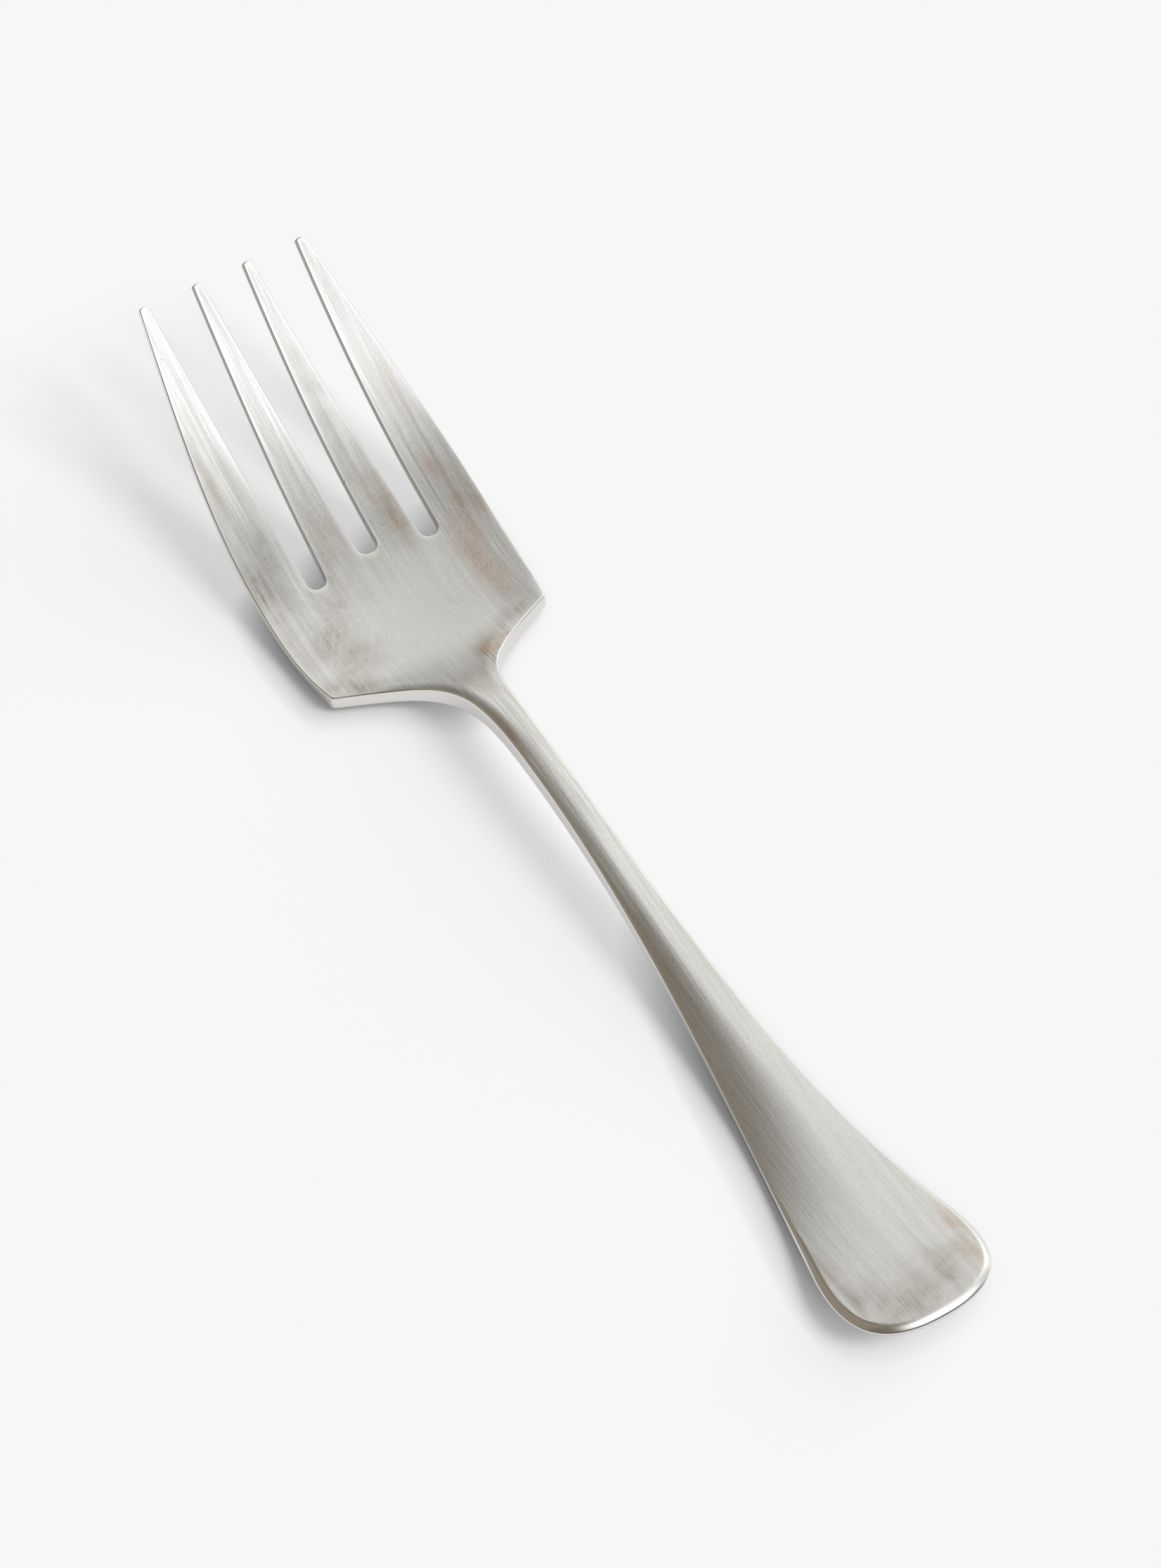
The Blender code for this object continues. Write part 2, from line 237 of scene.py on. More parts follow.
# Spots by where they lie, across and along the fork from the shoulder line, with half their width,
# half their length and their depth. A spot is full in its core and gone at its edge, as shares of that.
SPOT_CORE = 0.1
SPOT_EDGE = 1.25
RUBBED = ((0.0, 9.0, 24.0, 20.0, 0.95), (0.0, -128.0, 24.0, 74.0, 0.75))
SCRATCHED = (
    (-15.0, 16.0, 12.0, 24.0, 1.0), (16.0, 12.0, 11.0, 22.0, 1.0), (-5.0, 32.0, 6.0, 14.0, 0.8),
    (6.0, 30.0, 6.0, 14.0, 0.7), (0.0, -12.0, 8.0, 10.0, 0.5))
RUST_STAINS = (
    (18.1, 21.0, 3.6, 6.0, 0.65), (17.9, 11.8, 3.6, 6.0, 0.8), (20.9, 28.5, 2.2, 7.0, 0.35),
    (19.0, 36.0, 2.0, 4.0, 0.35), (6.3, -5.8, 2.2, 2.0, 0.3))
BROWN_STAINS = (
    (20.6, 33.0, 3.0, 8.0, 0.25), (19.0, 38.0, 2.4, 8.0, 0.1), (22.9, 42.0, 1.6, 6.0, 0.2),
    (20.6, 51.0, 1.8, 10.0, 0.25), (20.0, 30.0, 4.5, 8.0, 0.1), (24.0, 25.5, 2.0, 5.0, 0.4),
    (15.6, 19.5, 2.4, 5.0, 0.3), (8.0, 34.0, 2.8, 6.0, 0.5), (8.2, 28.5, 3.4, 5.0, 0.45),
    (6.2, 38.5, 2.0, 5.0, 0.35), (-6.5, 33.0, 4.0, 8.0, 0.2), (-4.1, 49.0, 1.4, 6.0, 0.1),
    (-19.3, 57.0, 1.2, 8.0, 0.3), (-17.0, 49.5, 1.4, 8.0, 0.2), (-21.3, 49.5, 1.2, 7.0, 0.35),
    (10.0, -4.8, 4.5, 3.0, 0.8), (0.5, -16.0, 2.0, 4.0, 0.4), (-2.2, -27.5, 1.1, 9.0, 0.85),
    (1.7, -32.0, 0.7, 6.0, 0.3), (12.0, -152.0, 1.8, 7.0, 0.6), (10.7, -159.0, 2.4, 5.0, 0.65))
# Grey stains, and grey painted shade: the last eleven spots darken the handle's end, most towards its
# lower left edge
GREY_STAINS_AND_SHADE = (
    (6.0, 58.5, 3.0, 10.0, 0.6), (-21.4, 57.5, 1.8, 5.0, 0.3), (-21.5, 50.0, 2.6, 10.0, 0.35),
    (4.2, 45.0, 3.0, 10.0, 0.5), (18.4, 51.0, 1.8, 7.0, 0.2), (16.5, 42.0, 2.6, 15.0, 0.1),
    (9.5, 40.8, 2.6, 11.0, 0.5), (-6.5, 34.0, 4.0, 9.0, 0.3), (6.5, 32.0, 4.0, 8.0, 0.4),
    (-20.0, 32.0, 4.0, 9.0, 0.55), (-18.0, 35.5, 2.0, 6.0, 0.4), (-23.4, 29.5, 2.2, 6.0, 0.65),
    (-20.5, 25.0, 5.5, 4.5, 0.35), (-9.2, 27.5, 2.4, 4.5, 0.5), (-6.5, 22.0, 10.0, 6.0, 0.35),
    (-12.5, 18.5, 3.2, 3.4, 0.45), (-23.5, 20.0, 3.0, 14.0, 0.5), (-16.0, 13.0, 6.0, 6.0, 0.5),
    (-17.0, 12.0, 9.0, 13.0, 0.3), (-12.0, 7.0, 6.0, 5.0, 0.6), (18.4, 2.8, 5.0, 6.0, 0.6),
    (15.0, 0.5, 4.0, 3.0, 0.45), (-20.0, 2.5, 6.0, 4.0, 0.75), (-17.0, -0.6, 4.5, 2.6, 0.75),
    (-12.0, -3.5, 5.0, 3.5, 0.5), (10.4, -4.8, 7.5, 5.5, 1.0), (7.5, -8.0, 5.0, 5.0, 0.8),
    (2.0, -11.0, 7.0, 4.0, 0.4), (-11.5, -150.0, 2.5, 10.0, 0.5), (-11.0, -158.0, 1.5, 5.0, 0.6),
    (-7.6, -158.0, 2.6, 6.0, 0.45), (4.6, -159.0, 2.0, 6.0, 0.5), (0.5, -160.0, 2.0, 7.0, 0.35),
    (0.0, -160.0, 14.0, 8.0, 0.3), (-2.1, -163.5, 4.0, 3.5, 0.6), (-4.5, -160.5, 3.5, 4.5, 0.35),
    (7.2, -158.5, 4.0, 5.0, 0.5), (-7.4, -162.0, 3.5, 3.2, 0.5), (3.2, -163.5, 5.0, 3.0, 0.4))


def linear(colour):
    """sRGB hex colour as linear red, green, blue and alpha."""
    parts = [int(colour[i:i + 2], 16) / 255 for i in (1, 3, 5)]
    return [p / 12.92 if p <= 0.04045 else ((p + 0.055) / 1.055) ** 2.4 for p in parts] + [1.0]


def add(tree, kind, inputs, **settings):
    """Adds a node; an input is a value, or the socket that feeds it.

    A Mix node's inputs are its share, 0, and two numbers, 2 and 3, or two colours, 6 and 7.
    """
    made = tree.nodes.new("ShaderNode" + kind)
    for name, value in settings.items():
        setattr(made, name, value)
    for socket, value in inputs.items():
        if isinstance(value, bpy.types.NodeSocket):
            tree.links.new(value, made.inputs[socket])
        else:
            made.inputs[socket].default_value = value
    return made


tumbled_steel = bpy.data.materials.new("tumbled_stainless_steel")
tumbled_steel.use_nodes = True
steel = tumbled_steel.node_tree
steel_shader = steel.nodes["Principled BSDF"]
steel_shader.inputs["Metallic"].default_value = 1.0
place = add(steel, "TexCoord", {}).outputs["Object"]
in_mm = add(steel, "VectorMath", {0: place, "Scale": 1 / MM}, operation="SCALE").outputs[0]


def lengthwise(width, length, detail):
    """Noise drawn out along the fork."""
    drawn = add(steel, "VectorMath", {0: in_mm, 1: (1 / width, 1 / length, 1 / length)},
                operation="MULTIPLY").outputs[0]
    return add(steel, "TexNoise", {"Vector": drawn, "Scale": 1.0, "Detail": detail}).outputs["Fac"]


def spots(places):
    """How deep the spots at some places lie on each other, from 0 to 1."""
    depth_so_far = 0.0
    for across, along, wide, long, depth in places:
        from_middle = add(steel, "VectorMath", {0: in_mm, 1: (across, SHOULDER_LINE + along, 0.0)},
                          operation="SUBTRACT").outputs[0]
        shares = add(steel, "VectorMath", {0: from_middle, 1: (1 / wide, 1 / long, 0.0)},
                     operation="MULTIPLY").outputs[0]
        reach = add(steel, "VectorMath", {0: shares}, operation="LENGTH").outputs["Value"]
        here = add(steel, "MapRange", {"Value": reach, "From Min": SPOT_EDGE, "From Max": SPOT_CORE,
                                       "To Max": depth}, interpolation_type="SMOOTHSTEP").outputs[0]
        depth_so_far = add(steel, "Math", {0: depth_so_far, 1: here}, operation="ADD",
                           use_clamp=True).outputs[0]
    return depth_so_far


lines = lengthwise(LINE_WIDTH, LINE_LENGTH, detail=3.0)
streaks = lengthwise(STREAK_WIDTH, STREAK_LENGTH, detail=2.0)
grit = add(steel, "TexNoise", {"Vector": in_mm, "Scale": 1 / GRIT_SIZE, "Detail": 1.0}).outputs["Fac"]
rubbed = spots(RUBBED)
scratched = spots(SCRATCHED)
wear_and_sheen_fac = add(steel, "Attribute", {}, attribute_name="edge_wear_and_sheen").outputs["Fac"]
worn_and_sheen = add(steel, "Math", {0: wear_and_sheen_fac, 1: WEAR_AND_SHEEN_POWER}, operation="POWER").outputs[0]
cut_wall = add(steel, "Attribute", {}, attribute_name="cut_wall").outputs["Fac"]

# Colours that lie over the dark lines, each with its share, in the order in which they are laid.
# Noise lies around 0.5, and From Min and From Max say where it starts to show and where it is full.
tone = add(steel, "Mix", {0: STREAK_SHARE, 2: lines, 3: streaks}, data_type="FLOAT").outputs[0]
tone = add(steel, "Mix", {0: rubbed, 2: tone, 3: RUBBED_TONE}, data_type="FLOAT").outputs[0]
tone = add(steel, "Mix", {0: GRIT_SHARE, 2: tone, 3: grit}, data_type="FLOAT").outputs[0]
tone = add(steel, "MapRange", {"Value": tone, "From Min": 0.36, "From Max": 0.64}).outputs[0]
# The edges take the brighter steel: partly polish, partly a painted sheen
coats = [(LINE_LIGHT, tone), (EDGE_POLISH_AND_SHEEN, worn_and_sheen)]

spot_lines = add(steel, "MapRange", {"Value": lines, "From Min": 0.38, "From Max": 0.60,
                                      "To Min": SPOTS_BETWEEN_LINES, "To Max": 1.0}).outputs[0]
spot_lines = add(steel, "Mix", {0: rubbed, 2: spot_lines, 3: SPOTS_WHERE_RUBBED},
                  data_type="FLOAT").outputs[0]
blotches = add(steel, "TexNoise", {"Vector": in_mm, "Scale": 1 / BLOTCH_SIZE,
                                   "Detail": 2.0}).outputs["Fac"]
blotches = add(steel, "MapRange", {"Value": blotches, "From Min": 0.36, "From Max": 0.62,
                                   "To Min": SPOTS_BETWEEN_BLOTCHES,
                                   "To Max": SPOTS_ON_BLOTCHES}).outputs[0]
spot_share = add(steel, "Math", {0: spot_lines, 1: blotches}, operation="MULTIPLY").outputs[0]
spot_share = add(steel, "Mix", {0: worn_and_sheen, 2: spot_share, 3: 0.0}, data_type="FLOAT").outputs[0]
# Each table of spots is laid in its tint; the grey table also paints shade on the handle's end
for tint, spot_places in ((STAIN_GREY_AND_SHADE, GREY_STAINS_AND_SHADE), (STAIN_BROWN, BROWN_STAINS),
                     (STAIN_RUST, RUST_STAINS)):
    spot_coat = add(steel, "Math", {0: spots(spot_places), 1: spot_share}, operation="MULTIPLY",
                use_clamp=True).outputs[0]
    coats.append((tint, spot_coat))

scratches = 0.0
for angle, shift in SCRATCH_WAYS:
    turned = add(steel, "Mapping", {"Vector": in_mm, "Location": (shift, shift, 0.0),
                                    "Rotation": (0.0, 0.0, math.radians(angle))}).outputs[0]
    fineness = (1 / SCRATCH_WIDTH, 1 / SCRATCH_LENGTH, 1 / SCRATCH_HEIGHT)
    drawn = add(steel, "VectorMath", {0: turned, 1: fineness}, operation="MULTIPLY").outputs[0]
    field = add(steel, "TexNoise", {"Vector": drawn, "Scale": 1.0, "Detail": 1.0}).outputs["Fac"]
    hairs = add(steel, "MapRange", {"Value": field, "From Min": 0.58, "From Max": 0.70}).outputs[0]
    scratches = add(steel, "Math", {0: scratches, 1: hairs}, operation="MAXIMUM").outputs[0]
scratch_share = add(steel, "Math", {0: scratched, 1: SCRATCHED_SHARE, 2: SCRATCHES_ALL_OVER},
                    operation="MULTIPLY_ADD").outputs[0]
scratches = add(steel, "Math", {0: scratches, 1: scratch_share}, operation="MULTIPLY").outputs[0]
coats.append((SCRATCH, scratches))

for tint, shift, bare_share in ((PIT, 0.0, PITS_BARE), (NICK, NICK_SHIFT, NICKS_BARE)):
    shifted = add(steel, "VectorMath", {0: in_mm, 1: (shift, shift, 0.0)}, operation="ADD").outputs[0]
    dots = add(steel, "TexVoronoi", {"Vector": shifted, "Scale": 1 / PIT_SPACING}).outputs
    dot = add(steel, "MapRange", {"Value": dots["Distance"], "From Min": PIT_SIZE / PIT_SPACING,
                                  "From Max": PIT_CORE / PIT_SPACING, "To Max": PIT_DEPTH}).outputs[0]
    chance = add(steel, "SeparateColor", {0: dots["Color"]}).outputs["Red"]
    kept_dot = add(steel, "Math", {0: chance, 1: bare_share}, operation="GREATER_THAN").outputs[0]
    dot = add(steel, "Math", {0: dot, 1: kept_dot}, operation="MULTIPLY").outputs[0]
    coats.append((tint, dot))

coats.append((CUT_WALL, cut_wall))
colour = linear(LINE_DARK)
for tint, share in coats:
    colour = add(steel, "Mix", {0: share, 6: colour, 7: linear(tint)}, data_type="RGBA").outputs[2]
steel.links.new(colour, steel_shader.inputs["Base Color"])

satin = add(steel, "MapRange", {"Value": lines, "To Min": SATIN_LEAST, "To Max": SATIN_MOST}).outputs[0]
satin = add(steel, "Mix", {0: worn_and_sheen, 2: satin, 3: EDGE_ROUGHNESS}, data_type="FLOAT").outputs[0]
satin = add(steel, "Mix", {0: cut_wall, 2: satin, 3: CUT_ROUGHNESS}, data_type="FLOAT").outputs[0]
steel.links.new(satin, steel_shader.inputs["Roughness"])
relief = add(steel, "Math", {0: grit, 1: GRIT_RELIEF, 2: lines}, operation="MULTIPLY_ADD").outputs[0]
relief = add(steel, "Math", {0: scratches, 1: SCRATCH_RELIEF, 2: relief},
             operation="MULTIPLY_ADD").outputs[0]
strength = add(steel, "MapRange", {"Value": worn_and_sheen, "To Min": FACE_RELIEF,
                                   "To Max": EDGE_RELIEF}).outputs[0]
steel_bump = add(steel, "Bump", {"Height": relief, "Strength": strength,
                                 "Distance": RELIEF_DEPTH * MM}).outputs[0]
steel.links.new(steel_bump, steel_shader.inputs["Normal"])

# The edges are rounded by the tumbling: a quarter circle at the face, more of a bevel where it is
# wide, a softer one at the back, and a short straight wall between them. Edges inside the outline are
# slot walls, cut dull from the face to the back by these shares, one for each ring round the edge.
FACE_ARC = np.radians((22.5, 45.0, 67.5, 90.0))
BACK_ARC = np.radians((90.0, 60.0, 30.0))
WALL_SHARES = (0.0, 0.1, 0.6, 1.0, 1.0, 0.8, 0.4)
FACE_ROUND_MOST = 0.42
BACK_ROUND_MOST = 0.5
BACK_ROUNDING = 1.4
BLUNT_FROM = 0.6
BLUNT_FULL = 1.2
BLUNT = 0.6
SLOT_INSIDE = 0.4
WEAR_AND_SHEEN_REACH = 0.7
MATCH_DECIMALS = 3


def weld(patches):
    """Face points of some patches without doubles, their edge points, and the quads between them."""
    number = {}
    face = []
    rim = []
    quads = []
    for points, edges in patches:
        rows, columns = points.shape[:2]
        ids = np.empty((rows, columns), int)
        for cell in np.ndindex(rows, columns):
            key = tuple(np.round(points[cell], MATCH_DECIMALS))
            if key not in number:
                number[key] = len(face)
                face.append(points[cell])
                rim.append(edges[cell])
            ids[cell] = number[key]
        for r in range(rows - 1):
            for c in range(columns - 1):
                quads.append((ids[r, c], ids[r, c + 1], ids[r + 1, c + 1], ids[r + 1, c]))
    return np.array(face), np.array(rim), quads


def tumble(inner, outer, top, back):
    """Rings of points round an edge from the face to the back, with their heights over the keel."""
    out = outer - inner
    width = np.linalg.norm(out, axis=1)
    deep = top - back
    face_round = np.minimum(width, FACE_ROUND_MOST * deep)
    back_round = np.minimum(BACK_ROUNDING * face_round, BACK_ROUND_MOST * deep)
    blunt = 1 + BLUNT * ease(width, BLUNT_FROM, BLUNT_FULL)
    rings = []
    for angle in FACE_ARC:
        aside = math.sin(angle) ** blunt
        down = 1 - max(math.cos(angle), 0.0) ** blunt
        rings.append((inner + out * aside[:, None], top - face_round * down))
    for angle in BACK_ARC:
        up = 1 - math.cos(angle)
        rings.append((inner + out * math.sin(angle), back + back_round * up))
    return rings


def press(name, patches, half):
    """Makes a closed piece from flat patches of (face points, edge points), rounds and bends it.

    Edge points are given beside the face points that they round off, and are missing elsewhere.
    """
    face, rim, quads = weld(patches)
    on_edge = np.flatnonzero(~np.isnan(rim[:, 0]))
    outline = rim[on_edge]
    top = face_height(face[:, 0], face[:, 1], half)
    back = back_height(face[:, 0], face[:, 1], half)
    rings = tumble(face[on_edge], outline, top[on_edge], back[on_edge])
    layers = [(face, top), *rings, (face, back)]
    places = np.concatenate([bend(flat[:, 0], flat[:, 1], height) for flat, height in layers])

    # Wear and painted sheen, full on the rounded edge and fading within a short reach of it
    to_edge = np.linalg.norm(face[:, None] - outline[None], axis=2).min(axis=1)
    face_wear_and_sheen = np.clip(1 - to_edge / WEAR_AND_SHEEN_REACH, 0.0, 1.0)
    all_wear_and_sheen = np.concatenate([face_wear_and_sheen, np.ones(len(rings) * len(on_edge)), face_wear_and_sheen])
    in_slot = half(outline[:, 1]) - np.abs(outline[:, 0]) > SLOT_INSIDE
    no_wall = np.zeros(len(face))
    all_walls = np.concatenate([no_wall, *(in_slot * share for share in WALL_SHARES), no_wall])

    mesh = bmesh.new()
    wear_and_sheen_layer = mesh.verts.layers.float.new("edge_wear_and_sheen")
    wall_layer = mesh.verts.layers.float.new("cut_wall")
    verts = [mesh.verts.new(place) for place in places]
    for vert, wear_and_sheen_here, wall_here in zip(verts, all_wear_and_sheen, all_walls):
        vert[wear_and_sheen_layer] = wear_and_sheen_here
        vert[wall_layer] = wall_here
    under = len(verts) - len(face)
    uses = {}
    for quad in quads:
        mesh.faces.new([verts[i] for i in quad])
        mesh.faces.new([verts[under + i] for i in quad[::-1]])
        for pair in zip(quad, quad[1:] + quad[:1]):
            uses.setdefault(frozenset(pair), []).append(pair)

    # The skin round the edge: a chain of points down from each face point that has an edge point
    chains = {}
    for k, i in enumerate(on_edge):
        down = [len(face) + r * len(on_edge) + k for r in range(len(rings))]
        chains[int(i)] = [verts[n] for n in (i, *down, under + i)]
    for found in uses.values():
        a, b = found[0]
        if len(found) > 1 or a not in chains or b not in chains:
            continue
        for k in range(len(rings) + 1):
            mesh.faces.new((chains[a][k], chains[a][k + 1], chains[b][k + 1], chains[b][k]))
    bmesh.ops.edgeloop_fill(mesh, edges=[edge for edge in mesh.edges if edge.is_boundary])
    bmesh.ops.recalc_face_normals(mesh, faces=mesh.faces)
    if mesh.calc_volume(signed=True) < 0:
        bmesh.ops.reverse_faces(mesh, faces=mesh.faces)
    data = bpy.data.meshes.new(name)
    mesh.to_mesh(data)
    mesh.free()
    data.shade_smooth()
    data.materials.append(tumbled_steel)
    piece = bpy.data.objects.new(name + "_steel", data)
    bpy.context.scene.collection.objects.link(piece)
    # The steel throws no light back on the paper, or a white rim would show beside the edges
    piece.visible_diffuse = False
    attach(piece, "root")
    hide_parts(name)
    return piece


# Handle
# The grip of the bar: drawn out from the neck into a flat spoon-like end, its face crowned by the die
# along a soft middle ridge that fades before the end, which is a full round with a thick soft edge.
NECK_BACK_AT = -36.8
NECK_WIDTH = 6.1
GRIP_WIDTH = 27.4
GRIP_AT = 20.2 - HANDLE_LENGTH
GRIP_FLARE = 2.22
END_SIDE_REACH = 11.8
END_FRONT_REACH = 14.4
EDGE_ROUND = 0.34
NECK_ROUND = 0.6
NECK_SOFT_FROM = -95.0
NECK_SOFT_FULL = -60.0
END_ROUND = 1.3
END_SOFT_FROM = -118.0
END_SOFT_FULL = -158.0
LEAST_HALF = 0.05
OUTLINE_STEPS = 400
FLARE_ROWS = 56
END_ROWS = 14
END_SPLIT = 0.55
# As many columns across the face as the row along the closed ends of the slots has
COLUMNS = 62


def bezier(corners, t):
    """Points on a cubic curve with four corner points, and its directions there."""
    a, b, c, d = (np.array(corner, float) for corner in corners)
    t = np.asarray(t, float)[..., None]
    points = a * (1 - t) ** 3 + 3 * b * t * (1 - t) ** 2 + 3 * c * t * t * (1 - t) + d * t ** 3
    ways = 3 * ((b - a) * (1 - t) ** 2 + 2 * (c - b) * t * (1 - t) + (d - c) * t * t)
    return points, ways


def round_off(points, ways, radius):
    """Face points that lie one edge radius inside an outline which runs tipward on the right."""
    outward = np.stack([ways[..., 1], -ways[..., 0]], axis=-1)
    outward = outward / np.linalg.norm(outward, axis=-1, keepdims=True)
    return points - outward * np.asarray(radius)[..., None]


def straight_rows(inner, outer, shares):
    """Patch of straight rows across the fork, from the right-hand face points and edge points."""
    face = np.empty((len(inner), len(shares), 2))
    face[..., 0] = inner[:, :1] * shares
    face[..., 1] = inner[:, 1:]
    edges = np.full(face.shape, np.nan)
    edges[:, -1] = outer
    edges[:, 0] = outer * (-1, 1)
    return face, edges


flare_length = NECK_BACK_AT - GRIP_AT
flare_growth = (GRIP_WIDTH - NECK_WIDTH) / 2
widening = flare_growth * GRIP_FLARE / flare_length
grip_way = np.array([widening, -1.0]) / math.hypot(widening, 1.0)
grip_side = np.array([GRIP_WIDTH / 2, GRIP_AT])
end_middle = np.array([0.0, -HANDLE_LENGTH])
end_corners = (grip_side, grip_side + END_SIDE_REACH * grip_way,
               end_middle + (END_FRONT_REACH, 0.0), end_middle)
end_line = bezier(end_corners, np.linspace(1.0, 0.0, OUTLINE_STEPS))[0]


def flare_half(u):
    """Half the width of the flare, from the neck at 0 to the grip at 1."""
    return NECK_WIDTH / 2 + flare_growth * u ** GRIP_FLARE


def handle_half(at):
    """Half the width of the handle along the fork."""
    u = np.clip((NECK_BACK_AT - at) / flare_length, 0.0, 1.0)
    end_half = np.maximum(np.interp(at, end_line[:, 1], end_line[:, 0]), LEAST_HALF)
    return np.where(at > GRIP_AT, flare_half(u), end_half)


def handle_rounding(at):
    """Radius of the edge: soft where the neck starts and at the end, crisper between them."""
    towards_neck = ease(at, NECK_SOFT_FROM, NECK_SOFT_FULL)
    towards_end = ease(at, END_SOFT_FROM, END_SOFT_FULL)
    return (EDGE_ROUND + (NECK_ROUND - EDGE_ROUND) * towards_neck
            + (END_ROUND - EDGE_ROUND) * towards_end)


def round_end(t):
    """Face points and edge points on the right of the round end, from its side to its middle."""
    points, ways = bezier(end_corners, t)
    return round_off(points, -ways, handle_rounding(points[:, 1])), points


even_shares = np.linspace(-1.0, 1.0, COLUMNS + 1)
flare_at = np.linspace(GRIP_AT, NECK_BACK_AT, FLARE_ROWS + 1)
flare_u = (NECK_BACK_AT - flare_at) / flare_length
flare_edge = np.stack([flare_half(flare_u), flare_at], axis=1)
flare_slope = -widening * flare_u ** (GRIP_FLARE - 1)
flare_ways = np.stack([flare_slope, np.ones_like(flare_at)], axis=1)
flare_face = round_off(flare_edge, flare_ways, handle_rounding(flare_at))
flare_patch = straight_rows(flare_face, flare_edge, even_shares)

# The round end: rows that turn from straight at the grip to the end's own curve
last_row, last_edge = round_end(1 - (1 - END_SPLIT) * np.abs(even_shares))
left_and_right = np.stack([np.sign(even_shares), np.ones_like(even_shares)], axis=1)
last_row = last_row * left_and_right
last_edge = last_edge * left_and_right
end_steps = np.linspace(1.0, 0.0, END_ROWS + 1)
end_face, end_edge = round_end(END_SPLIT * end_steps)
end_points, end_edges = straight_rows(end_face, end_edge, even_shares)
grip_row = end_points[-1]
for r, step in enumerate(end_steps):
    bowed = (1 - step) * grip_row + step * last_row
    slip = end_face[r] - bowed[-1]
    end_points[r, :, 0] = bowed[:, 0] + slip[0] * even_shares
    end_points[r, :, 1] = bowed[:, 1] + slip[1]
end_edges[0] = last_edge
handle = press("handle", [(end_points, end_edges), flare_patch], handle_half)

# Neck
# The narrow stem behind the head, left thick for strength. Its crown runs forward into two low ridges
# that follow the shoulders, with the hollow of the palm starting in the fork between them.
SHOULDER_ANGLE = math.radians(23.0)
SHOULDER_REACH = 19.8
NECK_REACH = 26.0
NECK_FRONT_AT = -9.0
SHOULDER_ROWS = 40
CORNER_CUT = 0.6

shoulder_corner = np.array([SHOULDER_WIDTH / 2, 0.0])
shoulder_way = np.array([math.cos(SHOULDER_ANGLE), math.sin(SHOULDER_ANGLE)])
neck_side = np.array([NECK_WIDTH / 2, NECK_BACK_AT])
shoulder_line = (neck_side, neck_side + (0.0, NECK_REACH),
                 shoulder_corner - SHOULDER_REACH * shoulder_way, shoulder_corner)
shoulder_edge, shoulder_ways = bezier(shoulder_line, np.linspace(0.0, 1.0, SHOULDER_ROWS + 1))
kept = np.linalg.norm(shoulder_edge - shoulder_corner, axis=1) > CORNER_CUT
shoulder_edge = shoulder_edge[kept]
shoulder_crisp = ease(shoulder_edge[:, 1], RAMP_TOP_AT, RAMP_AT)
shoulder_round = NECK_ROUND + (EDGE_ROUND - NECK_ROUND) * shoulder_crisp
shoulder_face = round_off(shoulder_edge, shoulder_ways[kept], shoulder_round)
neck_rows = int(np.argmin(np.abs(shoulder_edge[:, 1] - NECK_FRONT_AT))) + 1
shoulder_dense = bezier(shoulder_line, np.linspace(0.0, 1.0, OUTLINE_STEPS))[0]


def neck_half(at):
    """Half the width of the neck and the shoulders along the fork."""
    return np.interp(at, shoulder_dense[:, 1], shoulder_dense[:, 0])


neck_patch = straight_rows(shoulder_face[:neck_rows], shoulder_edge[:neck_rows], even_shares)
neck = press("neck", [neck_patch], neck_half)

# Head
# The dished palm behind the tines. Its shoulders turn into the sides at a small rounded corner, and
# three slots are punched into its front edge, with round corners at their closed ends.
HEAD_WIDTH = 50.1
HEAD_WIDEST_AT = 26.2
TIP_SPREAD = 36.0
SHOULDER_FLARE = 0.20
TIP_TAPER = 0.187
TINE_ROOT_AT = 30.0
OUTER_SLOT_ROOT_AT = 24.75
MIDDLE_SLOT_ROOT_AT = 26.9
SLOT_CORNER = 1.75
SLOT_ROUND = 0.22
TIP_EDGE_ROUND = 0.2
EDGE_STEP = 0.02
CORNER_ROWS = 5
SIDE_ROWS_END = 19.0
SIDE_ROWS = 13
LANES_FULL_AT = 15.0
FAN_ROWS = 5
ROOT_ROWS = 3
ARC_CELLS = 5
INNER_CELLS = 6
OUTER_CELLS = 7

# Slot edges by their distance from the middle at the closed end and at the tip, and by their bow
MIDDLE_SLOT_EDGE = (2.05, 4.6, 1.8)
OUTER_SLOT_NEAR_EDGE = (10.4, 6.35, 1.15)
OUTER_SLOT_FAR_EDGE = (14.3, 16.2, 2.2)


def hermite(at, start, end):
    """Curve between two (place, value, slope) ends."""
    (from_at, a, slope_a), (to_at, b, slope_b) = start, end
    length = to_at - from_at
    u = (at - from_at) / length
    return ((2 * u ** 3 - 3 * u ** 2 + 1) * a + (u ** 3 - 2 * u ** 2 + u) * length * slope_a
            + (3 * u ** 2 - 2 * u ** 3) * b + (u ** 3 - u ** 2) * length * slope_b)


def palm_half(at):
    """Half the width of the head along the fork, from the shoulders to the tips."""
    at = np.asarray(at, float)
    widest = (HEAD_WIDEST_AT, HEAD_WIDTH / 2, 0.0)
    side = hermite(at, (0.0, SHOULDER_WIDTH / 2, SHOULDER_FLARE), widest)
    tip = hermite(at, widest, (HEAD_LENGTH, TIP_SPREAD / 2, -TIP_TAPER))
    return np.where(at < 0.0, neck_half(at), np.where(at < HEAD_WIDEST_AT, side, tip))


def slot_line(root_at, root, tip, bow):
    """Edge of a slot as a distance from the middle, which moves from its root to the tip."""
    def line(at):
        u = np.maximum((np.asarray(at, float) - root_at) / (HEAD_LENGTH - root_at), 0.0)
        return root + (tip - root) * u ** bow
    return line


